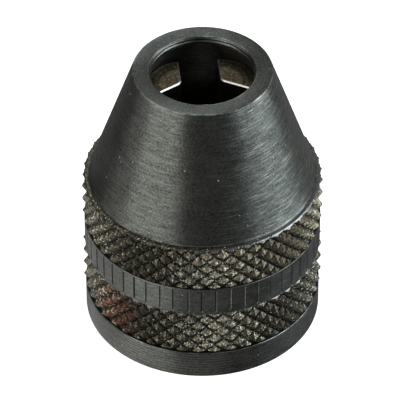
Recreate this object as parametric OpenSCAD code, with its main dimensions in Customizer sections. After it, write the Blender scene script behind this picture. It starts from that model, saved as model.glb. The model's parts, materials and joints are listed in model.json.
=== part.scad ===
// Keyless three-jaw drill chuck for a small rotary tool.
// The origin is the centre of the sleeve's rear rim and +Z runs along the chuck's axis to the nose.
// Rest is fully open. Turning the sleeve clockwise, seen from the nose, screws the spindle body
// forward in it, and the sleeve's inner taper then squeezes the three jaws together.

/* [Sleeve outside] */
// Diameter over the tips of the knurls
knurl_d = 17.4; // [17.2:0.05:17.8]
// Diameter of the two plain bands
band_d = 17.1; // [16.8:0.05:17.2]
// Diameter of the nose face
nose_d = 9.9; // [9.7:0.05:10.2]
// Diameter of the foot of the nose cone
cone_d = 16.4; // [16.2:0.05:16.8]
// Overall height, rear rim to nose face
sleeve_h = 21.5; // [21.3:0.1:22]
// Height of the foot of the nose cone
cone_z = 12.05; // [11.9:0.05:12.2]
// Height of the lower edge of the upper knurl
upper_knurl_z = 8.4; // [8.2:0.05:8.6]
// Height of the upper edge of the lower knurl
lower_knurl_top_z = 6.1; // [5.9:0.05:6.3]
// Height of the lower edge of the lower knurl
lower_knurl_z = 2.3; // [2.1:0.05:2.5]

/* [Mouth and taper] */
// Diameter of the hole in the nose, inside its broken edge
mouth_d = 7.26; // [7.2:0.02:7.5]
// Length of the straight land inside the nose
land_l = 0.5; // [0.4:0.05:0.7]
// Half angle of the taper that closes the jaws
taper_angle = 19.2; // [18.5:0.1:19.5]

/* [Sleeve thread] */
// Pitch diameter of the thread between sleeve and body
drive_thread_d = 13.35; // [13:0.05:13.6]
// Pitch of the thread between sleeve and body
drive_pitch = 1; // [0.75:0.25:1]
// Turns of the sleeve from fully open to fully closed
closing_turns = 4.45; // [4:0.05:4.5]

/* [Spindle body] */
// Minor diameter of the spindle thread, M8 x 0.75
spindle_bore_d = 7.188; // [7.18:0.002:7.2]
// Height of the body's rear face
body_z = 1.65; // [1.6:0.05:1.8]
// Height of the body's front face
body_top_z = 9; // [8.9:0.05:9.1]
// Diameter of the plain spigot at the body's front
spigot_d = 11.8; // [11.4:0.1:11.8]
// Diameter of the hole that a long shank can pass through
shank_hole_d = 3.8; // [3.6:0.1:4]
// Thickness of the thrust washer
washer_t = 0.8; // [0.7:0.05:0.9]

/* [Jaws] */
// Height of the jaws' front faces when open
jaw_top_z = 19.85; // [19.7:0.05:20]
// Opening between the jaw tips when open
jaw_open_d = 3.4; // [3.4:0.05:3.5]
// Direction of the first jaw, degrees from +X
jaw_angle = 36; // [0:1:119]
// Gap left between neighbouring jaws when closed
jaw_gap = 0.1; // [0.06:0.02:0.2]
// Running clearance on the taper
taper_clearance = 0.04; // [0.03:0.01:0.06]

/* [Springs and ring] */
// Outer diameter of a jaw spring
spring_d = 1.3; // [1.2:0.05:1.4]
// Wire diameter of a jaw spring
wire_d = 0.2; // [0.15:0.01:0.22]
// Depth of the spring holes in the jaws' sides
spring_hole_depth = 1.3; // [1.2:0.05:1.4]
// Thickness of the retaining ring
ring_t = 0.7; // [0.6:0.05:0.75]
// Gap between the ends of the retaining ring
ring_gap = 2.4; // [2:0.1:3]

/* [Hidden] */
$fn = 96;

blued = [0.22, 0.24, 0.24];
bright = [0.62, 0.6, 0.55];
grey = [0.45, 0.46, 0.48];
run = 0.05;                     // running clearance of the drive thread
edge = 0.15;                    // small broken edges
jaw_count = 3;
jaw_pitch = 360 / jaw_count;

// Radii and heights of the inside of the sleeve
mouth_r = mouth_d / 2;
drive_r = drive_thread_d / 2;
drive_minor_r = drive_r - 0.325 * drive_pitch - run;
taper_top_z = sleeve_h - land_l;
taper_foot_z = taper_top_z - (drive_r + run - mouth_r) / tan(taper_angle);
entry_r = drive_r + 0.325 * drive_pitch + 0.1;
groove_r = entry_r + 0.4;
groove_h = ring_t + 0.1;
groove_z = body_z - groove_h;

// Travel of the sleeve along the body, and of each jaw towards the axis
sleeve_travel = closing_turns * drive_pitch;
jaw_travel = sleeve_travel * tan(taper_angle);

// Jaws, in their closed place and at their open height
jaw_z = body_top_z + washer_t;
jaw_tip_r = jaw_open_d / 2 - jaw_travel;
jaw_back_r = drive_minor_r - jaw_travel - run;
jaw_nose_r = mouth_r - (jaw_top_z + sleeve_travel - taper_top_z) * tan(taper_angle)
           - taper_clearance / cos(taper_angle);
jaw_shoulder_z = jaw_top_z - (jaw_back_r - jaw_nose_r) / tan(taper_angle);
spring_z = jaw_z + 2.2;
spring_reach = 3.2;             // distance of a spring from the axis when the jaws are closed
spring_hole_r = spring_d / 2 + 0.1;
jaw_side_gap = jaw_gap + 2 * jaw_travel * sin(jaw_pitch / 2);
spring_length = jaw_side_gap + 2 * spring_hole_depth - 0.04;

// Knurled outer sleeve: grip bands, nose cone, taper, thread bore and ring groove in one piece
module sleeve() {
    color(blued)
    difference() {
        rotate_extrude() sleeve_outline();
        rotate_extrude() sleeve_hollow();
    }
}

module sleeve_outline() {
    polygon([
        [0, 0],
        [band_d / 2 - edge, 0],
        [band_d / 2, edge],
        [band_d / 2, lower_knurl_z],
        [knurl_d / 2, lower_knurl_z],
        [knurl_d / 2, lower_knurl_top_z],
        [band_d / 2, lower_knurl_top_z],
        [band_d / 2, upper_knurl_z],
        [knurl_d / 2, upper_knurl_z],
        [knurl_d / 2, cone_z - edge / 2],
        [knurl_d / 2 - edge / 2, cone_z],
        [cone_d / 2, cone_z],
        [nose_d / 2 + edge / 2, sleeve_h - 1.5 * edge],
        [nose_d / 2 - edge / 2, sleeve_h],
        [0, sleeve_h]
    ]);
}

module sleeve_hollow() {
    polygon([
        [0, -1],
        [entry_r + 2 * edge + 1, -1],
        [entry_r, 2 * edge],
        [entry_r, groove_z],
        [groove_r, groove_z],
        [groove_r, body_z],
        [entry_r, body_z],
        [drive_r + run, body_z + entry_r - drive_r],
        [drive_r + run, taper_foot_z],
        [mouth_r, taper_top_z],
        [mouth_r, sleeve_h - edge],
        [mouth_r + edge, sleeve_h],
        [mouth_r + edge, sleeve_h + 1],
        [0, sleeve_h + 1]
    ]);
}

// Body that screws onto the tool's spindle and carries the drive thread outside
module spindle_body() {
    color(grey)
    difference() {
        rotate_extrude() polygon([
            [0, body_z],
            [drive_r - 2 * edge, body_z],
            [drive_r, body_z + 2 * edge],
            [drive_r, thread_end_z() - 2 * edge],
            [drive_r - 2 * edge, thread_end_z()],
            [spigot_d / 2, thread_end_z()],
            [spigot_d / 2, body_top_z],
            [0, body_top_z]
        ]);
        spindle_bore();
    }
}

// The drive thread stops short of the taper when the sleeve is wound right back
function thread_end_z() = taper_foot_z - sleeve_travel - 2 * edge;

module spindle_bore() {
    lead = spindle_bore_d / 2 + 0.5;
    drill_z = body_top_z - 1.4;
    translate([0, 0, body_z - 1])
        cylinder(d = spindle_bore_d, h = drill_z - body_z + 1);
    translate([0, 0, body_z - 0.01])
        cylinder(r1 = lead, r2 = spindle_bore_d / 2, h = 0.5);
    translate([0, 0, drill_z - 0.001])
        cylinder(d1 = spindle_bore_d, d2 = shank_hole_d, h = 1);
    translate([0, 0, drill_z])
        cylinder(d = shank_hole_d, h = 3);
}

// Hardened washer between the body and the backs of the jaws
module thrust_washer() {
    color(bright)
    translate([0, 0, body_top_z])
    difference() {
        cylinder(d = spigot_d, h = washer_t);
        translate([0, 0, -1]) cylinder(d = shank_hole_d, h = washer_t + 2);
    }
}

// Split ring in the sleeve's groove that stops the body from unscrewing at the rear
module retaining_ring() {
    color(bright)
    translate([0, 0, groove_z + 0.05])
    difference() {
        cylinder(r = groove_r - run, h = ring_t);
        translate([0, 0, -1]) cylinder(r = drive_r - 0.5, h = ring_t + 2);
        rotate(105) translate([drive_r, 0, ring_t / 2])
            cube([4, ring_gap, ring_t + 2], center = true);
    }
}

// One jaw lying along +X, in its closed place: a third of a turned cone with a flat tip
module closed_jaw() {
    wall = jaw_gap / 2;
    far = 3 * jaw_back_r;
    half = jaw_pitch / 2;
    difference() {
        intersection() {
            rotate_extrude() polygon([
                [0, jaw_z],
                [jaw_back_r - edge, jaw_z],
                [jaw_back_r, jaw_z + edge],
                [jaw_back_r, jaw_shoulder_z],
                [jaw_nose_r + edge * tan(taper_angle), jaw_top_z - edge],
                [jaw_nose_r - edge, jaw_top_z],
                [0, jaw_top_z]
            ]);
            translate([wall / sin(half), 0, jaw_z - 1])
                linear_extrude(jaw_top_z - jaw_z + 2)
                    polygon([
                        [0, 0],
                        [far * cos(half), -far * sin(half)],
                        [far, 0],
                        [far * cos(half), far * sin(half)]
                    ]);
            translate([jaw_tip_r, -far, jaw_z - 1])
                cube([far, 2 * far, jaw_top_z - jaw_z + 2]);
        }
        for (side = [-1, 1])
            rotate(side * half)
                translate([spring_reach, 0, spring_z])
                    rotate([side * 90, 0, 0])
                        cylinder(r = spring_hole_r, h = wall + spring_hole_depth);
    }
}

module jaw(number) {
    color(bright)
    rotate(jaw_angle + (number - 1) * jaw_pitch)
        translate([jaw_travel, 0, 0])
            closed_jaw();
}

// Spring between one jaw and the next, reaching into both blind holes: the tube that its coil fills
module jaw_spring(number) {
    color(grey)
    rotate(jaw_angle + (number - 0.5) * jaw_pitch)
        translate([spring_reach + jaw_travel * cos(jaw_pitch / 2), 0, spring_z])
            rotate([90, 0, 0])
                difference() {
                    cylinder(d = spring_d, h = spring_length, center = true);
                    cylinder(d = spring_d - 2 * wire_d, h = spring_length + 1, center = true);
                }
}

sleeve();
spindle_body();
thrust_washer();
retaining_ring();
jaw(1);  // jaw_1
jaw(2);  // jaw_2
jaw(3);  // jaw_3
jaw_spring(1);  // jaw_spring_1
jaw_spring(2);  // jaw_spring_2
jaw_spring(3);  // jaw_spring_3
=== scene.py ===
"""Small keyless drill chuck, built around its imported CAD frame.

Lengths are in metres, and angles in radians except in PANELS. +Z is the chuck's axis, towards
the nose, and the origin is the centre of the sleeve's rear rim.
"""
import json
import math

import bmesh
import bpy
import numpy as np
from bpy.props import FloatProperty, FloatVectorProperty, IntProperty, PointerProperty
from bpy.types import Operator, Panel, PropertyGroup
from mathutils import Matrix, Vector


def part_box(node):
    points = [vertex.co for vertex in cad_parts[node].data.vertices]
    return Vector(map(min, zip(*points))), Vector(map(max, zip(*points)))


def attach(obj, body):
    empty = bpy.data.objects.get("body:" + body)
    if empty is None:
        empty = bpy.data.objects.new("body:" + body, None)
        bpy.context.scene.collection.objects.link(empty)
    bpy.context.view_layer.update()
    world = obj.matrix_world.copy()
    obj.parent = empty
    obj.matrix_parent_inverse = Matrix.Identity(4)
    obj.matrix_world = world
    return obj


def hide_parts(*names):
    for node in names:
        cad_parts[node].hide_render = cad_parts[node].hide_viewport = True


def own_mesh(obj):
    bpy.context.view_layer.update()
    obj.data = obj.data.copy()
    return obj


bl_info = {
    "name": "Keyless drill chuck",
    "version": (1, 0, 0),
    "blender": (4, 5, 0),
    "location": "3D View > Sidebar > Drill chuck",
    "description": "Makes the pieces, finishes and studio of a small keyless drill chuck",
    "category": "Add Mesh",
}

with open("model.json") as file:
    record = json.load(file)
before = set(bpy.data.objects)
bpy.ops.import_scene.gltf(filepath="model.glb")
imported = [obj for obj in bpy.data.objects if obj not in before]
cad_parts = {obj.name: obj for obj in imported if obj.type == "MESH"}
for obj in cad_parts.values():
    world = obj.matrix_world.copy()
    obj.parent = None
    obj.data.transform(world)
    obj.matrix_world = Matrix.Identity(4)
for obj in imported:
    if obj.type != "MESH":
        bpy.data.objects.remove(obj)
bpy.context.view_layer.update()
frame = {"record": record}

MM = 0.001
SLEEVE_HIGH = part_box("sleeve")[1]
BODY_LOW, BODY_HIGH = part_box("spindle_body")
WASHER_LOW, WASHER_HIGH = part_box("thrust_washer")
RING_LOW, RING_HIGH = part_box("retaining_ring")
JAW_LOW, JAW_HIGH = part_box("jaw_1")
SPRING_LOW, SPRING_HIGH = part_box("jaw_spring_1")
JOINTS = {joint["name"]: joint for joint in frame["record"]["behaviour"]["joints"]}
JAW_TRAVEL = JOINTS["jaw_1_slide"]["range_m"][1]
BODY_TRAVEL = JOINTS["body_feed"]["range_m"][1]
JAW_DIRECTIONS = [-np.array(JOINTS[f"jaw_{n}_slide"]["axis"]) for n in (1, 2, 3)]
SPRING_DIRECTIONS = [-np.array(JOINTS[f"jaw_spring_{n}_slide"]["axis"]) for n in (1, 2, 3)]


# Sizes and finishes that a user would change

class ChuckSizes(PropertyGroup):
    """Sizes of the chuck's visible features, inside the space that the CAD frame gives them."""

    knurl_count: IntProperty(
        name="Knurl teeth", description="Diamond teeth round each knurled band", default=45)
    knurl_rows: IntProperty(
        name="Knurl rows", description="Height of the lower band, in sixteenths of a tooth",
        default=51)
    knurl_depth: FloatProperty(
        name="Knurl depth", description="Depth of the grooves between the teeth",
        default=0.38 * MM, unit="LENGTH")
    band_radius: FloatProperty(
        name="Band radius", description="Radius of the two plain bands",
        default=8.55 * MM, unit="LENGTH")
    cone_radius: FloatProperty(
        name="Cone foot radius", description="Radius of the foot of the nose cone",
        default=8.2 * MM, unit="LENGTH")
    nose_radius: FloatProperty(
        name="Nose radius", description="Radius of the nose face, over its broken edge",
        default=4.965 * MM, unit="LENGTH")
    mouth_radius: FloatProperty(
        name="Mouth radius", description="Radius of the hole in the nose",
        default=3.63 * MM, unit="LENGTH")
    taper_angle: FloatProperty(
        name="Taper", description="Half angle of the taper that closes the jaws",
        default=math.radians(19.2), subtype="ANGLE")
    score_count: IntProperty(
        name="Score lines", description="Lengthwise score lines round the plain band", default=52)
    score_width: FloatProperty(
        name="Score width", description="Width of a score line",
        default=0.15 * MM, unit="LENGTH")
    score_depth: FloatProperty(
        name="Score depth", description="Depth of a score line",
        default=0.07 * MM, unit="LENGTH")
    drive_pitch: FloatProperty(
        name="Drive pitch", description="Pitch of the thread between sleeve and body",
        default=1.0 * MM, unit="LENGTH")
    spindle_pitch: FloatProperty(
        name="Spindle pitch", description="Pitch of the thread that takes the tool's spindle",
        default=0.75 * MM, unit="LENGTH")
    spring_turns: FloatProperty(
        name="Spring turns", description="Turns of wire in a jaw spring", default=9.0)


class ChuckFinish(PropertyGroup):
    """Colours of the chuck's finishes, as linear reflectance."""

    blued: FloatVectorProperty(
        name="Blued steel", description="Black oxide on turned steel",
        default=(0.108, 0.112, 0.1), subtype="COLOR")
    knurl: FloatVectorProperty(
        name="Knurled steel", description="Black oxide on the knurls, worn brown",
        default=(0.104, 0.1, 0.076), subtype="COLOR")
    rust: FloatVectorProperty(
        name="Rust", description="Red-brown stain on the lower knurl",
        default=(0.155, 0.066, 0.044), subtype="COLOR")
    straw: FloatVectorProperty(
        name="Ground steel", description="Jaws and washer, tinted straw by hardening",
        default=(0.2, 0.165, 0.11), subtype="COLOR")
    turned: FloatVectorProperty(
        name="Turned steel", description="Spindle body, fine turned and oiled",
        default=(0.4, 0.41, 0.42), subtype="COLOR")
    wire: FloatVectorProperty(
        name="Spring steel", description="Drawn wire of the springs and the retaining ring",
        default=(0.46, 0.46, 0.47), subtype="COLOR")


def settings(context):
    """The scene's sizes and finishes."""
    return context.scene.chuck_sizes, context.scene.chuck_finish


# Meshes: points come from whole-array formulas, and faces from the grid that they lie on

def grid_faces(rows, columns, wrap_rows=False, wrap_columns=True):
    """Quads of a grid of points numbered row by row. Wrapping joins the last to the first."""
    row = np.arange(rows if wrap_rows else rows - 1)[:, None]
    column = np.arange(columns if wrap_columns else columns - 1)[None, :]
    next_row = (row + 1) % rows
    next_column = (column + 1) % columns
    corners = (row * columns + column, row * columns + next_column,
               next_row * columns + next_column, next_row * columns + column)
    corners = [np.broadcast_to(corner, (row.size, column.size)) for corner in corners]
    return np.stack(corners, -1).reshape(-1, 4)


def add_piece(name, points, faces, body, nodes, material, crease=30.0, values=None):
    """One closed piece from points (n, 3) and face arrays. Doubles are merged, normals turned
    outwards, edges sharper than crease shaded sharp, and values kept as per-point attributes."""
    mesh = bpy.data.meshes.new(name)
    points = points.reshape(-1, 3)
    mesh.vertices.add(len(points))
    mesh.vertices.foreach_set("co", points.ravel())
    corners = np.concatenate([f.ravel() for f in faces])
    sizes = np.concatenate([np.full(len(f), f.shape[1]) for f in faces])
    mesh.loops.add(len(corners))
    mesh.loops.foreach_set("vertex_index", corners)
    mesh.polygons.add(len(sizes))
    mesh.polygons.foreach_set("loop_start", np.concatenate([[0], np.cumsum(sizes)[:-1]]))
    for key, data in (values or {}).items():
        kind, field = (("FLOAT", "value"), ("FLOAT_VECTOR", "vector"))[data.ndim - 1]
        mesh.attributes.new(key, kind, "POINT").data.foreach_set(field, data.ravel())
    mesh.update(calc_edges=True)
    build = bmesh.new()
    build.from_mesh(mesh)
    bmesh.ops.remove_doubles(build, verts=build.verts, dist=2e-7)
    bmesh.ops.dissolve_degenerate(build, dist=1e-7, edges=build.edges)
    bmesh.ops.recalc_face_normals(build, faces=build.faces)
    build.to_mesh(mesh)
    build.free()
    mesh.shade_smooth()
    mesh.set_sharp_from_angle(angle=math.radians(crease))
    piece = bpy.data.objects.new(name, mesh)
    bpy.context.scene.collection.objects.link(piece)
    mesh.materials.append(material)
    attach(piece, body)
    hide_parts(*nodes)
    return piece


def around(radius, height, columns, angles=None):
    """Points (rows, columns, 3) of a surface round Z: radius and height are (rows,) or
    (rows, columns), and column j is at angle 2 pi j / columns, or at angles[j]."""
    radius, height = (a[:, None] if a.ndim == 1 else a for a in (radius, height))
    angle = np.arange(columns) * 2 * np.pi / columns if angles is None else angles
    shape = np.broadcast_shapes(radius.shape, height.shape, (1, columns))
    radius, height, angle = (np.broadcast_to(a, shape) for a in (radius, height, angle[None, :]))
    return np.stack([radius * np.cos(angle), radius * np.sin(angle), height], -1)


def rounded(profile, edge, steps=4):
    """The closed profile (n, 2) with each corner cut back by up to edge, or by its own edge, and
    turned into a short arc: point = (1-t)^2 start + 2t(1-t) corner + t^2 end. The third column,
    4t(1-t), is how worn the point is."""
    profile = np.asarray(profile, float)
    before, after = np.roll(profile, 1, 0) - profile, np.roll(profile, -1, 0) - profile
    ways = [(way, np.linalg.norm(way, axis=1)) for way in (before, after)]
    reach = [(way / long[:, None]) * np.minimum(edge, 0.4 * long)[:, None] for way, long in ways]
    t = np.linspace(0, 1, steps + 1)[None, :, None]
    start, corner, end = (p[:, None] for p in (profile + reach[0], profile, profile + reach[1]))
    arcs = (1 - t) ** 2 * start + 2 * t * (1 - t) * corner + t ** 2 * end
    worn = np.broadcast_to(4 * t * (1 - t), arcs.shape[:2] + (1,))
    return np.concatenate([arcs, worn], -1).reshape(-1, 3)


def subdivided(profile, longest):
    """The closed profile (n, 3) with extra points so that no step is longer than longest."""
    steps = np.linalg.norm((np.roll(profile, -1, 0) - profile)[:, :2], axis=1)
    counts = np.maximum(1, np.ceil(steps / longest)).astype(int)
    start = np.repeat(np.arange(len(profile)), counts)
    share = np.concatenate([np.arange(c) / c for c in counts])[:, None]
    return profile[start] * (1 - share) + np.roll(profile, -1, 0)[start] * share


def thread_rows(low, high, pitch, crest, root, columns, lead=0.0):
    """Radius and height (rows, columns) of a right-hand thread from low to high: rows climb one
    pitch per turn and stop at the two end planes, and the radius is a trapezium wave of the height
    less pitch times angle over a full turn. A lead-in of length lead cuts both ends down."""
    crest_flat, root_flat = 0.16, 0.22  # parts of the pitch
    flank = (1 - crest_flat - root_flat) / 2
    corners = np.cumsum([0, crest_flat, flank, root_flat])
    phases = np.sort(np.concatenate([corners, corners[[1, 3]] + flank / 2, [crest_flat / 2]]))
    turns = math.ceil((high - low) / pitch) + 2
    climb = (np.arange(turns)[:, None] + phases[None, :]).ravel()[:, None] - 1
    angle = np.arange(columns + 1)[None, :] / columns
    height = np.clip(low + pitch * (climb + angle), low, high)
    phase = ((height - low) / pitch - angle) % 1.0
    wave = np.interp(phase, np.concatenate([corners, [1.0]]), [crest, crest, root, root, crest])
    past = np.minimum(height - low, high - height)
    limit = np.clip(1 - past / lead, 0, 1) if lead else 0.0
    radius = wave + (root - wave) * limit
    return radius, height


def threaded_points(sections, columns):
    """Points, faces and wear of a closed ring whose cross-section is a loop of sections. A plain
    section is a profile (n, 2), or (n, 3) with its wear. A threaded one is a pair from
    thread_rows, whose extra last column is its first one, one pitch on."""
    radius, height, worn = [], [], []
    for section in sections:
        if isinstance(section, tuple):
            radius.append(section[0])
            height.append(section[1])
            worn.append(np.zeros(len(section[0])))
        else:
            plain = np.asarray(section, float)
            radius.append(np.repeat(plain[:, :1], columns + 1, 1))
            height.append(np.repeat(plain[:, 1:2], columns + 1, 1))
            worn.append(plain[:, 2] if plain.shape[1] > 2 else np.zeros(len(plain)))
    radius, height, worn = (np.concatenate(parts) for parts in (radius, height, worn))
    angles = np.arange(columns + 1) * 2 * np.pi / columns
    points = around(radius, height, columns + 1, angles)
    faces = grid_faces(len(radius), columns + 1, True, False)
    return points.reshape(-1, 3), faces, np.repeat(worn, columns + 1)


# Materials

def new_material(name):
    """An empty node material and its Principled shader."""
    material = bpy.data.materials.new(name)
    material.use_nodes = True
    return material, material.node_tree, material.node_tree.nodes["Principled BSDF"]


def fill(tree, node, inputs):
    """Gives each listed input of a node its link or its constant."""
    for key, value in inputs.items():
        if isinstance(value, bpy.types.NodeSocket):
            tree.links.new(value, node.inputs[key])
        else:
            node.inputs[key].default_value = value


def add_node(tree, kind, inputs=None, **settings):
    """A shader node with its settings and its input values or links."""
    node = tree.nodes.new(kind)
    for key, value in settings.items():
        setattr(node, key, value)
    fill(tree, node, inputs or {})
    return node


def object_coords(tree):
    """Object coordinates, in metres."""
    return add_node(tree, "ShaderNodeTexCoord").outputs["Object"]


def axis_part(tree, vector, axis):
    """The X, Y or Z of a vector."""
    return add_node(tree, "ShaderNodeSeparateXYZ", {0: vector}).outputs[axis]


def point_value(tree, name, output="Fac"):
    """A value that add_piece has kept on the piece's points."""
    return add_node(tree, "ShaderNodeAttribute", attribute_name=name).outputs[output]


def noise(tree, vector, scale=1.0, detail=3.0, roughness=0.55):
    """Noise between about 0.2 and 0.8 on the given coordinates."""
    inputs = {"Vector": vector, "Scale": scale, "Detail": detail, "Roughness": roughness}
    return add_node(tree, "ShaderNodeTexNoise", inputs).outputs["Fac"]


def spread(tree, value, low, high, new_low=0.0, new_high=1.0):
    """The value moved from the range low to high into another one, and kept inside it."""
    inputs = {"Value": value, "From Min": low, "From Max": high,
              "To Min": new_low, "To Max": new_high}
    return add_node(tree, "ShaderNodeMapRange", inputs).outputs["Result"]


def calc(tree, operation, first, second=0.0):
    """One sum on two values."""
    return add_node(tree, "ShaderNodeMath", {0: first, 1: second}, operation=operation).outputs[0]


def plus(tree, first, second):
    """Two values added."""
    return calc(tree, "ADD", first, second)


def times(tree, first, second):
    """Two values multiplied."""
    return calc(tree, "MULTIPLY", first, second)


def axis_distance(tree, coords):
    """How far the coordinates are from the Z axis."""
    flat = add_node(tree, "ShaderNodeVectorMath", {0: coords, 1: (1.0, 1.0, 0.0)},
                    operation="MULTIPLY").outputs[0]
    return add_node(tree, "ShaderNodeVectorMath", {0: flat}, operation="LENGTH").outputs["Value"]


def layered(tree, paint, *layers):
    """The paint under further colours, which are given as pairs of share and colour."""
    for share, colour in layers:
        paint = add_node(tree, "ShaderNodeMix", {0: share, 6: paint, 7: colour},
                         data_type="RGBA").outputs[2]
    return paint


def rgba(colour, factor=1.0):
    """A colour with alpha, made lighter or darker by a factor."""
    return tuple(min(1.0, c * factor) for c in colour) + (1.0,)


def warmed(colour):
    """A colour with alpha, made a little lighter and browner."""
    return rgba((colour[0] * 1.2, colour[1] * 1.1, colour[2] * 0.95))


def bumped(tree, height, depth, under=None):
    """A bump of the given depth in metres, over another bump where one is given."""
    inputs = {"Height": height, "Strength": 1.0, "Distance": depth}
    if under is not None:
        inputs["Normal"] = under
    return add_node(tree, "ShaderNodeBump", inputs).outputs["Normal"]


def turning_coordinates(tree, coords, along, across):
    """Coordinates squeezed so that noise on them draws tool lines round the axis: X and Y by
    along, and height plus radius by across, so that flat faces get circles too."""
    lift = plus(tree, axis_part(tree, coords, "Z"), axis_distance(tree, coords))
    return add_node(tree, "ShaderNodeCombineXYZ", {
        "X": times(tree, axis_part(tree, coords, "X"), along),
        "Y": times(tree, axis_part(tree, coords, "Y"), along),
        "Z": times(tree, lift, across)}).outputs[0]


def specks(tree, coords, scale, size, share):
    """One in the middle of some cells of a Voronoi pattern and nothing elsewhere: size is a
    speck's radius as a part of the cell, and share is how many of the cells have one."""
    cells = add_node(tree, "ShaderNodeTexVoronoi", {"Vector": coords, "Scale": scale})
    chance = add_node(tree, "ShaderNodeSeparateColor", {0: cells.outputs["Color"]}).outputs[0]
    near = spread(tree, cells.outputs["Distance"], size * 0.6, size, 1.0, 0.0)
    return times(tree, near, calc(tree, "LESS_THAN", chance, share))


# Advance of the lathe tool in a turn, and the colours of wear, dirt, a paler right side and
# painted glints
TOOL_FEED = 0.25 * MM
BARE_STEEL, GROUND_EDGE, DUST = (0.5, 0.5, 0.47), (0.72, 0.71, 0.68), (0.42, 0.41, 0.38)
WORN_TIP, CUT_TOOTH, RIGHT_PALE = (0.3, 0.29, 0.25), (0.25, 0.25, 0.24), (0.3, 0.25, 0.17)
RUST_FLECK, GRIT, GLINT = (0.42, 0.2, 0.09), (0.62, 0.59, 0.49), (0.85, 0.76, 0.54)


def turned_material(name, colour, roughness=0.36, blotch=0.12, dust=0.0, grime=False,
                    calm_above=1.0):
    """Turned steel: short tool lines and even feed marks run round the axis over a mottle and a
    grain, with pale scratch marks, painted stronger towards the right as a painted highlight. All
    are faint above calm_above. Worn edges show bare steel in patches, painted shade darkens the
    score lines' grooves, and dust is a few specks."""
    material, tree, shader = new_material(name)
    coords = object_coords(tree)
    side, height = axis_part(tree, coords, "X"), axis_part(tree, coords, "Z")
    level = axis_part(tree, turning_coordinates(tree, coords, 1.0, 1.0), "Z")
    fine = noise(tree, turning_coordinates(tree, coords, 900.0, 10500.0), roughness=0.65)
    long = noise(tree, turning_coordinates(tree, coords, 150.0, 9000.0), detail=2.0)
    score = noise(tree, turning_coordinates(tree, coords, 750.0, 19000.0), detail=1.5)
    mottle = noise(tree, coords, 420.0, detail=5.0, roughness=0.6)
    speckle = noise(tree, coords, 8500.0, detail=2.0)

    marks = times(tree, calc(tree, "SINE", times(tree, level, 2 * math.pi / TOOL_FEED)),
                  spread(tree, mottle, 0.35, 0.65, 0.01, 0.06))
    marks = times(tree, marks, spread(tree, height, 2.2 * MM, 2.4 * MM, 5.0, 0.5))
    calm = spread(tree, height, calm_above - 0.1 * MM, calm_above, 1.0, 0.35)
    lines = plus(tree, times(tree, fine, 0.7), times(tree, long, 0.3))
    lines = calc(tree, "SUBTRACT", plus(tree, lines, marks), 0.5)
    lines = plus(tree, times(tree, lines, calm), 0.5)
    tone = plus(tree, spread(tree, mottle, 0.3, 0.7, -blotch, blotch),
                spread(tree, lines, 0.36, 0.64, -0.2, 0.2))
    tone = plus(tree, tone, spread(tree, speckle, 0.35, 0.65, -0.28, 0.28))
    scratches_and_highlight = times(tree, spread(tree, score, 0.56, 0.68, 0.0, 0.62), calm)
    # Painted highlight: the pale scratch marks are real, but they are painted paler and stronger
    # towards the right, where the right-hand highlight falls
    scratches_and_highlight = times(tree, scratches_and_highlight, spread(tree, side, 0.0, 3 * MM, 0.12, 1.0))
    patchy = times(tree, point_value(tree, "edge_wear"),
                   spread(tree, plus(tree, mottle, fine), 0.88, 1.12))

    layers = [(spread(tree, tone, -0.45, 0.45), rgba(colour, 1.62)),
              (scratches_and_highlight, rgba(colour, 3.2)),
              (spread(tree, patchy, 0.2, 0.9, 0.0, 0.7), rgba(BARE_STEEL))]
    metallic = 1.0
    if grime:
        # Painted shade: the score lines' grooves are darkened
        layers.append((point_value(tree, "grime"), rgba(colour, 0.15)))
    if dust:
        dusty = specks(tree, coords, 1300.0, 0.085, dust)
        layers.append((dusty, rgba(DUST)))
        metallic = calc(tree, "SUBTRACT", 1.0, dusty)
    fill(tree, shader, {
        "Base Color": layered(tree, rgba(colour, 0.42), *layers),
        "Metallic": metallic,
        "Roughness": plus(tree, spread(tree, mottle, 0.3, 0.7, -0.04, 0.05),
                          spread(tree, lines, 0.36, 0.64, roughness + 0.06, roughness - 0.06)),
        "Normal": bumped(tree, lines, 20e-6, bumped(tree, speckle, 5e-6)),
        "Anisotropic": 0.55,
        "Anisotropic Rotation": 0.25})
    return material


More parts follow.
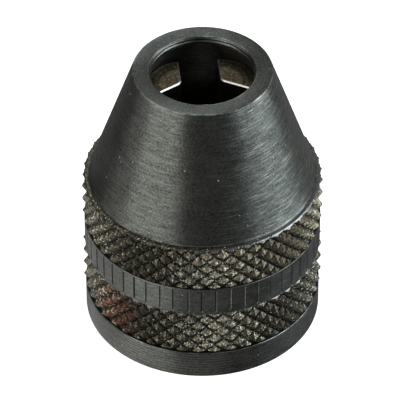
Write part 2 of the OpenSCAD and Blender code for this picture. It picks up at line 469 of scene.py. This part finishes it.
def knurl_material(name, colour, rust, stain=None, uneven=False):
    """Knurled oxide: the tooth height kept on the points darkens the grooves as painted shade and
    wears the tips bright, the turned value shows where the lathe cut a tooth off, and noise
    mottles it all brown.
    A stain is a red-brown patch about one place. An uneven band has its cut-off teeth kept dull
    on its left as painted shade, and on its right teeth made paler, with flecks of rust."""
    material, tree, shader = new_material(name)
    coords = object_coords(tree)
    side = axis_part(tree, coords, "X")
    height, turned = point_value(tree, "tooth_height"), point_value(tree, "turned")
    if uneven:
        # Painted shade: towards the left the cut-off teeth lose their paler cut colour and stay
        # dark
        turned = times(tree, turned, spread(tree, side, -1 * MM, 4 * MM))
    patch = noise(tree, coords, 900.0, detail=6.0, roughness=0.65)
    grit = noise(tree, coords, 6500.0, detail=4.0, roughness=0.7)
    chips = noise(tree, coords, 4200.0, detail=5.0, roughness=0.75)

    layers = [(spread(tree, patch, 0.35, 0.65), warmed(colour)),
              (spread(tree, times(tree, patch, chips), 0.3, 0.42, 0.0, 0.5), rgba(rust)),
              (spread(tree, grit, 0.36, 0.48, 0.7, 0.0), rgba(colour, 0.15))]
    if stain:
        place, size = stain
        away = add_node(tree, "ShaderNodeVectorMath", {0: coords, 1: place}, operation="DISTANCE")
        ragged = spread(tree, times(tree, plus(tree, patch, chips), 0.5), 0.35, 0.65, -0.45, 0.45)
        ragged = plus(tree, times(tree, away.outputs["Value"], 1 / size), ragged)
        layers.append((spread(tree, ragged, 0.6, 1.2, 0.9, 0.0), rgba(rust)))
    brown = layered(tree, rgba(colour, 0.8), *layers)

    tips = plus(tree, height, spread(tree, chips, 0.3, 0.7, -0.3, 0.3))
    # Painted glints: pale, less metallic specks, partly dust, that stand in for specular glints
    glints = calc(tree, "MAXIMUM", specks(tree, coords, 1900.0, 0.12, 0.5),
                  specks(tree, coords, 3300.0, 0.17, 0.3))
    # Painted shade: the grooves between the teeth fall to near black, set by tooth height
    layers = [(spread(tree, height, 0.06, 0.28), brown),
              (spread(tree, tips, 0.88, 1.2, 0.0, 0.7), rgba(WORN_TIP))]
    if uneven:
        # Teeth made paler towards the right, more on the higher parts of the teeth
        paler_right = times(tree, spread(tree, side, 2.5 * MM, 6 * MM), spread(tree, height, 0.1, 0.4))
        flecks = specks(tree, coords, 1500.0, 0.2, 0.4)
        layers += [
            (times(tree, paler_right, spread(tree, chips, 0.42, 0.56, 0.15, 0.9)), rgba(RIGHT_PALE)),
            (times(tree, spread(tree, side, 0.0, 3 * MM), flecks), rgba(RUST_FLECK))]
    layers += [(spread(tree, grit, 0.575, 0.63, 0.0, 0.85), rgba(GRIT)),
               (spread(tree, grit, 0.39, 0.45, 0.85, 0.0), rgba(colour, 0.07)),
               (times(tree, turned, spread(tree, chips, 0.3, 0.45, 0.3, 1.0)), rgba(CUT_TOOTH)),
               (specks(tree, coords, 2700.0, 0.2, 0.4), rgba(colour, 0.05)),
               (glints, rgba(GLINT))]
    uncut = calc(tree, "SUBTRACT", 1.0, times(tree, turned, 0.9))
    rough = times(tree, spread(tree, grit, 0.3, 0.7, 0.24, 0.1), uncut)
    fill(tree, shader, {
        "Base Color": layered(tree, rgba(colour, 0.04), *layers),
        "Metallic": calc(tree, "SUBTRACT", 0.92, times(tree, glints, 0.6)),
        "Roughness": plus(tree, rough, 0.2),
        "Normal": bumped(tree, times(tree, chips, uncut), 6e-6,
                         bumped(tree, times(tree, grit, uncut), 20e-6))})
    return material


def ground_material(name, colour, blank=None):
    """Ground steel with fine arcs about the axis that the blank was turned on. A jaw keeps its
    place in the blank as an attribute, so its arcs stay with it. Worn edges show bright steel."""
    material, tree, shader = new_material(name)
    coords = point_value(tree, blank, "Vector") if blank else object_coords(tree)
    ring = add_node(tree, "ShaderNodeCombineXYZ", {
        "X": times(tree, axis_distance(tree, coords), 6000.0),
        "Y": times(tree, axis_part(tree, coords, "Z"), 3500.0)}).outputs[0]
    arcs = noise(tree, ring, roughness=0.6)
    heat = noise(tree, coords, 700.0, detail=4.0)
    grit = noise(tree, coords, 5200.0, detail=4.0, roughness=0.65)
    edge = point_value(tree, "edge_wear")
    paint = layered(tree, rgba(colour, 0.65),
                    (spread(tree, heat, 0.35, 0.65), warmed(colour)),
                    (spread(tree, arcs, 0.42, 0.52, 0.85, 0.0), rgba(colour, 0.28)),
                    (spread(tree, grit, 0.4, 0.5, 0.7, 0.0), rgba(colour, 0.3)),
                    (spread(tree, grit, 0.56, 0.64, 0.0, 0.55), rgba(colour, 2.4)),
                    (spread(tree, edge, 0.2, 0.7, 0.0, 0.95), rgba(GROUND_EDGE)))
    fill(tree, shader, {"Base Color": paint, "Metallic": 1.0,
                        "Roughness": spread(tree, grit, 0.3, 0.7, 0.42, 0.3),
                        "Normal": bumped(tree, arcs, 22e-6, bumped(tree, grit, 6e-6))})
    return material


# The sleeve and its bands

# Heights of the band edges above the rear rim, and length of the land inside the mouth
LOWER_FOOT, LOWER_HEAD, UPPER_FOOT, CONE_FOOT = 2.3 * MM, 6.1 * MM, 8.4 * MM, 12.05 * MM
MOUTH_LAND = 0.5 * MM
# Radii under the bands (which lap into the sleeve), of the drive thread, entry and ring groove
SEAT_RADIUS, SEAT_LAP = 7.9 * MM, 0.05 * MM
DRIVE_ROOT, DRIVE_CREST = 7.0 * MM, 6.48 * MM
ENTRY_RADIUS, GROOVE_RADIUS = 7.1 * MM, 7.5 * MM
TOOTH_STEPS = 16  # points across a knurl tooth


def taper_foot(sizes, bore_radius):
    """Height at which the inner taper, from the mouth back, has grown to the bore's radius."""
    rise = (bore_radius - sizes.mouth_radius) / math.tan(sizes.taper_angle)
    return SLEEVE_HIGH.z - MOUTH_LAND - rise


class CHUCK_OT_sleeve(Operator):
    """Turned sleeve: a profile of cone, bands, mouth, taper, thread and groove carried round Z"""

    bl_idname = "chuck.sleeve"
    bl_label = "Sleeve"

    def execute(self, context):
        sizes, finish = settings(context)
        columns = 288
        band, cone, mouth = sizes.band_radius, sizes.cone_radius, sizes.mouth_radius
        top, recess, lead_in = SLEEVE_HIGH.z, mouth + 0.07 * MM, 0.3 * MM
        thread_high = taper_foot(sizes, DRIVE_ROOT)
        groove_low, groove_high = RING_LOW.z - 0.05 * MM, RING_HIGH.z + 0.05 * MM
        # Radius, height and how far the corner is broken
        wide, fine, thin, sharp = 0.06 * MM, 0.05 * MM, 0.03 * MM, 0.02 * MM
        corners = np.array([
            (ENTRY_RADIUS + lead_in, 0.0, fine), (band, 0.0, wide),
            (band, LOWER_FOOT - 0.06 * MM, wide), (band - 0.3 * MM, LOWER_FOOT - 0.08 * MM, fine),
            (SEAT_RADIUS, LOWER_FOOT, fine), (SEAT_RADIUS, CONE_FOOT - 0.25 * MM, fine),
            (cone - 0.1 * MM, CONE_FOOT - 0.1 * MM, fine), (cone, CONE_FOOT, sharp),
            (cone, CONE_FOOT + 0.12 * MM, sharp),
            (cone - 0.06 * MM, CONE_FOOT + 0.15 * MM, sharp / 2),
            (sizes.nose_radius, top, 0.11 * MM), (mouth + 0.19 * MM, top, 2 * sharp),
            (recess, top - 0.12 * MM, thin), (recess, top - 0.26 * MM, thin),
            (mouth, top - 0.33 * MM, thin), (mouth, top - MOUTH_LAND, wide),
            (DRIVE_ROOT, thread_high, fine), (ENTRY_RADIUS, groove_high, fine),
            (GROOVE_RADIUS, groove_high, fine), (GROOVE_RADIUS, groove_low, fine),
            (ENTRY_RADIUS, groove_low, fine), (ENTRY_RADIUS, lead_in, fine)])
        outline = subdivided(rounded(corners[:, :2], corners[:, 2]), 0.8 * MM)
        outer, inner = split_outline(outline, thread_high, groove_high)
        radius, height = thread_rows(groove_high, thread_high, sizes.drive_pitch, DRIVE_CREST,
                                     DRIVE_ROOT, columns, lead=0.5 * MM)
        sections = [outer, (radius[::-1], height[::-1]), inner]
        points, faces, worn = threaded_points(sections, columns)
        material = turned_material("blued_turned_steel", finish.blued, dust=0.7,
                                   calm_above=top - 0.05 * MM)
        add_piece("sleeve_turning", points, [faces], "sleeve", ["sleeve"], material,
                  values={"edge_wear": worn})
        return {"FINISHED"}


def split_outline(outline, thread_high, groove_high):
    """The closed outline as the stretch before the threaded bore, and the stretch after it."""
    place = np.arange(len(outline))
    bore = (outline[:, 0] < DRIVE_ROOT + 0.2 * MM) & (outline[:, 1] > thread_high - 1e-9)
    first = place[bore][-1]
    last = place[(outline[:, 1] <= groove_high + 1e-9) & (place > first)][0]
    return outline[:first + 1], outline[last:]


class CHUCK_OT_knurls(Operator):
    """Diamond knurls: the radius is the lower of two triangle waves that climb opposite ways"""

    bl_idname = "chuck.knurls"
    bl_label = "Knurled bands"

    def execute(self, context):
        sizes, finish = settings(context)
        stain = ((-6.3 * MM, -5.7 * MM, 4.05 * MM), 2.05 * MM)
        finishes = (knurl_material("knurled_steel_stained", finish.knurl, finish.rust, stain),
                    knurl_material("knurled_steel", finish.knurl, finish.rust, uneven=True))
        row_height = (LOWER_HEAD - LOWER_FOOT) / sizes.knurl_rows
        bands = (("lower_knurl", LOWER_FOOT, LOWER_HEAD, 8.44 * MM, finishes[0], 3),
                 ("upper_knurl", UPPER_FOOT, CONE_FOOT, 8.42 * MM, finishes[1], 8))
        for name, low, high, top_radius, material, seed in bands:
            rows = round((high - low) / row_height) + 1
            points, faces, values = knurled_ring(sizes, low, high, rows, top_radius, seed)
            add_piece(name, points, faces, "sleeve", ["sleeve"], material,
                      crease=24.0, values=values)
        return {"FINISHED"}


def knurled_ring(sizes, low, high, rows, top_radius, seed):
    """A ring whose outside is the knurl. With u and v the two waves' phases, a tooth's height is
    min(triangle(u), triangle(v)). Each tip is cut off at a height of its own, the grooves run out
    towards the top, and a chamfer cuts the teeth down at each end. Quads are split along the
    groove that crosses them, so that grooves stay straight."""
    steps, kinds, full_tip, run_out = TOOTH_STEPS, 16, 0.98, 0.2 * MM
    top_slope, foot_slope = 1.4, 2.2
    columns = sizes.knurl_count * steps
    column, row = np.arange(columns)[None, :], np.arange(rows)[:, None]
    u, v = (column + row) / steps, (column - row) / steps
    wave = [1 - np.abs(2 * (phase % 1.0) - 1) for phase in (u, v)]
    rough = np.random.default_rng(seed)
    which = np.floor(u).astype(int) % sizes.knurl_count, np.floor(v).astype(int) % kinds
    tip = (full_tip - 0.16 * rough.random((sizes.knurl_count, kinds)) ** 2)[which]
    lean = (1 + 0.14 * (rough.random((sizes.knurl_count, kinds)) - 0.5))[which]
    height = np.minimum(np.minimum(wave[0] * lean, wave[1]), tip) / full_tip
    root, crown = SLEEVE_HIGH.x - sizes.knurl_depth, SLEEVE_HIGH.x
    level = np.linspace(low, high, rows)[:, None]
    height = 1 - (1 - np.clip(height, 0, 1)) * np.clip((high - level) / run_out + 0.25, 0, 1)
    radius = root + (crown - root) * height
    top_limit = top_radius + (high - level) * top_slope
    foot_limit = root + (level - low) * foot_slope
    turned = np.clip((radius - top_limit) / (0.02 * MM), 0, 1)
    radius = np.minimum(radius, np.minimum(top_limit, foot_limit))
    inner = np.full((2, columns), SEAT_RADIUS - SEAT_LAP)
    radius = np.concatenate([radius, inner])
    level = np.concatenate([level, [[high], [low]]])
    points = around(radius, level, columns)
    quads = grid_faces(rows + 2, columns, True).reshape(rows + 2, columns, 4)
    skin, back = quads[:rows - 1].reshape(-1, 4), quads[rows - 1:].reshape(-1, 4)
    half = steps // 2
    rising = (((column // half) + (row[:rows - 1] // half)) % 2 == 1).ravel()
    first = np.where(rising[:, None], skin[:, [0, 1, 2]], skin[:, [0, 1, 3]])
    second = np.where(rising[:, None], skin[:, [0, 2, 3]], skin[:, [1, 2, 3]])
    hidden = np.zeros((2, columns))
    values = {"tooth_height": np.concatenate([height, hidden]).ravel(),
              "turned": np.concatenate([turned, hidden + 1]).ravel()}
    return points, [first, second, back], values


class CHUCK_OT_score_band(Operator):
    """Plain band with score lines: V grooves of their own small depth, lean and width"""

    bl_idname = "chuck.score_band"
    bl_label = "Scored band"

    def execute(self, context):
        sizes, finish = settings(context)
        radius, edge, count = sizes.band_radius, 0.03 * MM, sizes.score_count
        rough = np.random.default_rng(11)
        offsets = np.array([-0.5, -0.35, -0.15, 0.0, 0.5, 2.2, 3.9])
        start = np.arange(count) + 0.12 * (rough.random(count) - 0.5)
        step = 2 * np.pi / count
        angles = (start[:, None] * step + offsets[None, :] * sizes.score_width / radius).ravel()
        depth = sizes.score_depth * (0.55 + 0.7 * rough.random(count))
        groove = np.array([0, 0.8, 1, 0.95, 0, 0, 0])
        cut = (depth[:, None] * groove[None, :]).ravel()
        share = np.array([0, edge, 0.16 * MM, 0.24 * MM, 0.9 * MM, 1.6 * MM, 2.08 * MM, 2.16 * MM])
        level = np.append(share + LOWER_HEAD, [UPPER_FOOT - edge, UPPER_FOOT])
        fade = np.array([0, 0, 0, 1, 1, 1, 1, 0, 0, 0])
        chamfer = np.array([edge, 0, 0, 0, 0, 0, 0, 0, 0, edge])
        outer = radius - chamfer[:, None] - fade[:, None] * cut[None, :]
        inner = np.full((2, len(angles)), SEAT_RADIUS - SEAT_LAP)
        height = np.concatenate([level, [UPPER_FOOT, LOWER_HEAD]])
        points = around(np.concatenate([outer, inner]), height, len(angles), angles)
        faces = grid_faces(len(height), len(angles), True)
        # Painted shade: how far each point across a score line's groove is darkened
        groove_shade_amount = np.tile([0, 0.75, 0.75, 0.15, 0, 0, 0], count) * np.append(fade, [0, 0])[:, None]
        material = turned_material("blued_turned_band", finish.blued, blotch=0.16, dust=0.2,
                                   grime=True)
        add_piece("score_band", points, [faces], "sleeve", ["sleeve"], material,
                  crease=20.0, values={"grime": groove_shade_amount.ravel()})
        return {"FINISHED"}


# What the sleeve holds

class CHUCK_OT_spindle_body(Operator):
    """Spindle body: a closed section with the drive thread outside and the spindle's inside"""

    bl_idname = "chuck.spindle_body"
    bl_label = "Spindle body"

    def execute(self, context):
        sizes, finish = settings(context)
        columns = 144
        low, high, spigot = BODY_LOW.z, BODY_HIGH.z, WASHER_HIGH.x
        thread_end = taper_foot(sizes, 6.725 * MM) - BODY_TRAVEL - 0.3 * MM
        crest, root = 6.93 * MM, 6.41 * MM
        minor, major, mouth = 3.594 * MM, 4.02 * MM, 4.09 * MM
        shank, drill, bevel = 1.9 * MM, high - 1.4 * MM, 0.1 * MM
        outside = thread_rows(low, thread_end, sizes.drive_pitch, crest, root, columns,
                              lead=0.5 * MM)
        inside = thread_rows(low + bevel, drill, sizes.spindle_pitch, minor, major, columns)
        front = [(root - bevel, thread_end), (spigot, thread_end + bevel),
                 (spigot, high - 0.12 * MM), (spigot - 0.12 * MM, high), (4.0 * MM, high),
                 (shank + 0.15 * MM, high), (shank, high - 0.15 * MM), (shank, high - 0.4 * MM),
                 (minor, drill + 0.02 * MM)]
        relief = low + 0.06 * MM
        rear = [(mouth, low + bevel), (4.15 * MM, low), (4.8 * MM, low), (4.9 * MM, relief),
                (5.5 * MM, relief), (5.6 * MM, low), (root - bevel, low)]
        lead = np.clip(1 - (inside[1] - low - bevel) / (0.5 * MM), 0, 1)
        bored = np.maximum(inside[0], minor + (mouth - minor) * lead)
        sections = [outside, front, (bored[::-1], inside[1][::-1]), rear]
        points, faces, worn = threaded_points(sections, columns)
        material = turned_material("turned_steel", finish.turned, roughness=0.3, blotch=0.1)
        add_piece("spindle_body_turning", points, [faces], "spindle_body", ["spindle_body"],
                  material, values={"edge_wear": worn})
        return {"FINISHED"}


class CHUCK_OT_washer(Operator):
    """Thrust washer: a rounded rectangle carried round Z"""

    bl_idname = "chuck.thrust_washer"
    bl_label = "Thrust washer"

    def execute(self, context):
        finish = context.scene.chuck_finish
        columns, hole, rim = 144, 1.9 * MM, WASHER_HIGH.x
        outline = rounded([(hole, WASHER_LOW.z), (rim, WASHER_LOW.z),
                           (rim, WASHER_HIGH.z), (hole, WASHER_HIGH.z)], 0.1 * MM, 3)
        outline = subdivided(outline, 0.5 * MM)[:, :2]
        points = around(outline[:, 0], outline[:, 1], columns)
        material = ground_material("ground_washer", finish.straw)
        add_piece("thrust_washer_ring", points, [grid_faces(len(outline), columns, True)],
                  "thrust_washer", ["thrust_washer"], material)
        return {"FINISHED"}


class CHUCK_OT_ring(Operator):
    """Retaining ring: a rounded rectangle carried round Z, with a gap between its rounded ends"""

    bl_idname = "chuck.retaining_ring"
    bl_label = "Retaining ring"

    def execute(self, context):
        finish = context.scene.chuck_finish
        outer, inner, gap_at, gap = 7.45 * MM, 6.175 * MM, math.radians(105), 2.4 * MM
        low, high = RING_LOW.z, RING_HIGH.z
        outline = rounded([(inner, low), (outer, low), (outer, high), (inner, high)],
                          0.12 * MM, 3)[:, :2]
        middle = outline.mean(0)
        half_gap = gap / (outer + inner)
        angles = np.linspace(gap_at + half_gap, gap_at + 2 * math.pi - half_gap, 180)
        corner = 0.15 * MM / outer
        angles = np.concatenate([[angles[0]] * 2, [angles[0] + corner], angles[2:-2],
                                 [angles[-1] - corner], [angles[-1]] * 2])
        size = np.ones(len(angles))
        size[[0, -1]] = 0.0
        size[[1, -2]] = 0.78
        section = middle + (outline - middle)[:, None, :] * size[None, :, None]
        points = around(section[..., 0], section[..., 1], len(angles), angles)
        material = turned_material("spring_ring_steel", finish.wire, roughness=0.3, blotch=0.15)
        faces = grid_faces(len(outline), len(angles), True, False)
        add_piece("retaining_ring_turning", points, [faces], "sleeve", ["retaining_ring"],
                  material)
        return {"FINISHED"}


def jaw_loop(radius, tip, wall, corner=0.06 * MM):
    """One cross-section of a closed jaw along +X, as (n, 2): a flat tip, two sides wall away from
    the planes at 60 degrees, and an arc of the given radius, with the four corners cut off."""
    half = math.radians(60)
    along = np.array([math.cos(half), math.sin(half)])
    apex = np.array([wall / math.sin(half), 0.0])
    tip_y = (tip - apex[0]) * math.tan(half)
    start = apex[0] * along[0]
    reach = -start + math.sqrt(start ** 2 - apex[0] ** 2 + radius ** 2)
    tip_corner, far_corner = np.array([tip, tip_y]), apex + reach * along
    end_angle = math.atan2(far_corner[1], far_corner[0]) - corner / radius
    side = np.linspace(tip_corner + corner * along, far_corner - corner * along, 14)
    arc_angle = np.linspace(end_angle, 0, 17)[:-1]
    arc = radius * np.stack([np.cos(arc_angle), np.sin(arc_angle)], 1)
    flat = np.array([[tip, 0.0], [tip, tip_y - min(corner, 0.4 * tip_y)]])
    upper = np.concatenate([flat, side, arc])
    lower = upper[1:][::-1] * [1, -1]
    return np.concatenate([upper, [[radius, 0.0]], lower])


class CHUCK_OT_jaws(Operator):
    """Three jaws: sectors of one turned cone, drawn together and then moved apart"""

    bl_idname = "chuck.jaws"
    bl_label = "Jaws"

    def execute(self, context):
        sizes, finish = settings(context)
        low, high = JAW_LOW.z, JAW_HIGH.z
        slope = math.tan(sizes.taper_angle)
        past_land = high + BODY_TRAVEL - (SLEEVE_HIGH.z - MOUTH_LAND)
        nose = sizes.mouth_radius - past_land * slope - 0.045 * MM
        back = 6.3 * MM - JAW_TRAVEL - 0.05 * MM
        shoulder = high - (back - nose) / slope
        tip, wall, edge = 0.15 * MM, 0.05 * MM, 0.085 * MM
        line = 0.015 * MM
        level = np.array([low, low, low + edge, low + edge + line, shoulder - 1 * MM, shoulder,
                          (shoulder + high) / 2, high - edge - line, high - edge, high, high])
        reach = np.minimum(back, nose + (high - level) * slope)
        inset = np.array([edge + line, edge, 0, 0, 0, 0, 0, 0, 0, edge, edge + line])
        material = ground_material("ground_jaw", finish.straw, blank="blank")
        loops = [jaw_loop(r - i, tip + i, wall + i) for r, i in zip(reach, inset)]
        loops = caps_added(np.array(loops))
        level = np.concatenate([[low, low], level, [high, high]])
        bright = np.zeros(len(level))
        bright[[3, 4, -5, -4]] = 1.0
        bright = np.repeat(bright, loops.shape[1])
        height = np.broadcast_to(level[:, None, None], loops.shape[:2] + (1,))
        faces = grid_faces(*loops.shape[:2])
        closed = np.concatenate([loops, height], -1).reshape(-1, 3)
        for number, outwards in enumerate(JAW_DIRECTIONS, 1):
            body = f"jaw_{number}"
            across = np.array([-outwards[1], outwards[0], 0.0])
            place = np.stack([outwards, across, [0.0, 0.0, 1.0]])
            points = closed @ place + outwards * JAW_TRAVEL
            add_piece(f"{body}_ground", points, [faces], body, [body], material,
                      values={"blank": closed, "edge_wear": bright})
        return {"FINISHED"}


def caps_added(loops):
    """The loops (rows, n, 2) with two more at each end that shrink to the loop's centre."""
    ends = []
    for loop in (loops[0], loops[-1]):
        centre = loop.mean(0)
        ends.append([centre + (loop - centre) * share for share in (0.5, 0.0)])
    return np.concatenate([ends[0][::-1], loops, ends[1]])


class CHUCK_OT_springs(Operator):
    """Jaw springs: a round wire carried along a helix whose end turns are wound close"""

    bl_idname = "chuck.jaw_springs"
    bl_label = "Jaw springs"

    def execute(self, context):
        sizes, finish = settings(context)
        material = turned_material("spring_wire", finish.wire, roughness=0.25)
        wire, coil = 0.1 * MM, 0.55 * MM
        length = 5.34 * MM - 2 * wire
        steps, sides = 24 * int(sizes.spring_turns), 10
        share = np.linspace(0, 1, steps)
        turn = 2 * np.pi * sizes.spring_turns * share
        close = 1 / sizes.spring_turns
        open_share = np.clip((share - close) / (1 - 2 * close), 0, 1)
        dead = 2 * wire * 1.03
        rise = dead * (np.clip(share / close, 0, 1) + np.clip((share - 1 + close) / close, 0, 1))
        rise = rise + (length - 2 * dead) * open_share - length / 2
        out = np.stack([np.cos(turn), np.sin(turn), np.zeros(steps)], 1)
        path = out * coil + np.array([0, 0, 1]) * rise[:, None]
        tangent = np.gradient(path, axis=0)
        tangent /= np.linalg.norm(tangent, axis=1)[:, None]
        side = np.cross(tangent, out)
        angle = np.arange(sides) * 2 * np.pi / sides
        ring = out[:, None] * np.cos(angle)[:, None] + side[:, None] * np.sin(angle)[:, None]
        ends = [np.repeat(end[None, None], sides, 1) for end in (path[0], path[-1])]
        tube = np.concatenate([ends[0], path[:, None] + wire * ring, ends[1]]).reshape(-1, 3)
        faces = grid_faces(steps + 2, sides)
        for number, outwards in enumerate(SPRING_DIRECTIONS, 1):
            body = f"jaw_spring_{number}"
            along = np.array([-outwards[1], outwards[0], 0.0])
            place = np.stack([outwards, [0.0, 0.0, 1.0], along])
            lows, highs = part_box(f"jaw_spring_{number}")
            centre = (np.array(lows) + np.array(highs)) / 2
            centre[2] = (SPRING_LOW.z + SPRING_HIGH.z) / 2
            points = tube @ place + centre
            piece = add_piece(f"{body}_coil", points, [faces], body, [body],
                              material, crease=60.0)
            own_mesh(piece)
        return {"FINISHED"}


# Studio

COOL, PALE_BLUE = (0.83, 0.92, 1.0), (0.93, 0.98, 1.0)
# Name, azimuths, elevations, radiance, tint: degrees, from the front (0) to the right (90)
PANELS = (
    ("left_panel", (-76, -27), (-46, 56), 1.48),
    ("left_edge_panel", (-103, -71), (-60, 45), 0.42),
    ("left_low_panel", (-146, -106), (-66, -36), 0.66),
    ("right_panel", (49, 112), (-14, 56), 1.68, COOL),
    ("right_strip", (72, 106), (-10, 50), 1.95, COOL),
    ("right_edge_panel", (116, 160), (-30, 30), 0.15),
    ("top_strip_low", (182, 202), (6, 31), 2.7, PALE_BLUE),
    ("top_strip_high", (182, 202), (51, 86), 2.7, PALE_BLUE),
    ("low_glow", (-34, 10), (-70, -28), 0.25))
PANEL_DISTANCE, PANEL_AIM = 0.6, Vector((0, 0, 0.011))
CAMERA_DISTANCE, CAMERA_AIM, CAMERA_LIFT = 0.28, Vector((0, 0, 0.010)), math.radians(40.9)
CAMERA_LENS = {"sensor_width": 36.0, "lens": 349.2, "shift_x": -0.006, "shift_y": -0.0150,
               "clip_start": 0.01}
FLOOR_HALF, FLOOR_Z = 3.0, -2e-5


def area_light(name, azimuths, elevations, radiance, tint=(1.0, 1.0, 1.0)):
    """A soft panel that faces the chuck and fills the sky between azimuths and elevations."""
    span = [math.radians(high - low) for low, high in (azimuths, elevations)]
    light = bpy.data.lights.new(name, "AREA")
    light.shape = "RECTANGLE"
    light.size, light.size_y = (2 * PANEL_DISTANCE * math.tan(angle / 2) for angle in span)
    light.energy, light.color = radiance * math.pi * light.size * light.size_y, tint
    panel = bpy.data.objects.new(name, light)
    bpy.context.scene.collection.objects.link(panel)
    turn, lift = (math.radians(sum(ends) / 2) for ends in (azimuths, elevations))
    away = Vector((math.sin(turn) * math.cos(lift), -math.cos(turn) * math.cos(lift),
                   math.sin(lift)))
    panel.location = PANEL_AIM + away * PANEL_DISTANCE
    panel.rotation_euler = away.to_track_quat("Z", "Y").to_euler()
    panel.visible_camera = False


class CHUCK_OT_studio(Operator):
    """Studio: a pale floor that is clear from below, soft panels, a dim sky and the camera"""

    bl_idname = "chuck.studio"
    bl_label = "Studio"

    def execute(self, context):
        scene = context.scene
        scene.view_settings.view_transform = "Standard"
        mesh = bpy.data.meshes.new("floor")
        corners = [(-1, -1), (1, -1), (1, 1), (-1, 1)]
        mesh.from_pydata([(x * FLOOR_HALF, y * FLOOR_HALF, FLOOR_Z) for x, y in corners], [],
                         [(0, 1, 2, 3)])
        floor = bpy.data.objects.new("floor", mesh)
        scene.collection.objects.link(floor)
        material, tree, shader = new_material("pale_floor")
        fill(tree, shader, {"Base Color": (0.8, 0.8, 0.8, 1), "Roughness": 1.0,
                            "Specular IOR Level": 0.0, "Emission Color": (1, 1, 1, 1),
                            "Emission Strength": 0.85})
        under = add_node(tree, "ShaderNodeNewGeometry").outputs["Backfacing"]
        clear = add_node(tree, "ShaderNodeBsdfTransparent").outputs["BSDF"]
        mixed = add_node(tree, "ShaderNodeMixShader",
                         {0: under, 1: shader.outputs["BSDF"], 2: clear})
        fill(tree, tree.nodes["Material Output"], {"Surface": mixed.outputs[0]})
        mesh.materials.append(material)
        floor.visible_glossy = False
        floor.visible_diffuse = False
        floor.visible_shadow = False

        scene.world = bpy.data.worlds.new("studio")
        scene.world.use_nodes = True
        tree = scene.world.node_tree
        ray = add_node(tree, "ShaderNodeLightPath").outputs["Is Camera Ray"]
        fill(tree, tree.nodes["Background"],
             {"Strength": spread(tree, ray, 0.0, 1.0, 0.13, 1.0), "Color": (1, 1, 1, 1)})

        for panel in PANELS:
            area_light(*panel)

        lens = bpy.data.cameras.new("camera")
        for key, value in CAMERA_LENS.items():
            setattr(lens, key, value)
        camera = bpy.data.objects.new("camera", lens)
        scene.collection.objects.link(camera)
        away = Vector((0, -math.cos(CAMERA_LIFT), math.sin(CAMERA_LIFT)))
        camera.location = CAMERA_AIM + away * CAMERA_DISTANCE
        camera.rotation_euler = (math.radians(90) - CAMERA_LIFT, 0, 0)
        scene.camera = camera
        return {"FINISHED"}


class CHUCK_PT_panel(Panel):
    """Lists the steps, in their order, and the settings"""

    bl_idname = "CHUCK_PT_panel"
    bl_label = "Drill chuck"
    bl_space_type = "VIEW_3D"
    bl_region_type = "UI"
    bl_category = "Drill chuck"

    def draw(self, context):
        for operator in OPERATORS:
            self.layout.operator(operator.bl_idname)
        for name in ("chuck_sizes", "chuck_finish"):
            group = getattr(context.scene, name)
            for key in group.__annotations__:
                self.layout.prop(group, key)


OPERATORS = (CHUCK_OT_studio, CHUCK_OT_sleeve, CHUCK_OT_knurls, CHUCK_OT_score_band,
             CHUCK_OT_spindle_body, CHUCK_OT_washer, CHUCK_OT_ring, CHUCK_OT_jaws,
             CHUCK_OT_springs)
CLASSES = (ChuckSizes, ChuckFinish) + OPERATORS + (CHUCK_PT_panel,)


def register():
    """Registers the groups, the operators and the panel."""
    for item in CLASSES:
        bpy.utils.register_class(item)
    bpy.types.Scene.chuck_sizes = PointerProperty(type=ChuckSizes)
    bpy.types.Scene.chuck_finish = PointerProperty(type=ChuckFinish)


def unregister():
    """Takes them away again."""
    del bpy.types.Scene.chuck_finish
    del bpy.types.Scene.chuck_sizes
    for item in reversed(CLASSES):
        bpy.utils.unregister_class(item)


def main():
    register()
    bpy.ops.chuck.studio()
    bpy.ops.chuck.sleeve()
    bpy.ops.chuck.knurls()
    bpy.ops.chuck.score_band()
    bpy.ops.chuck.spindle_body()
    bpy.ops.chuck.thrust_washer()
    bpy.ops.chuck.retaining_ring()
    bpy.ops.chuck.jaws()
    bpy.ops.chuck.jaw_springs()


if __name__ == "__main__":
    main()
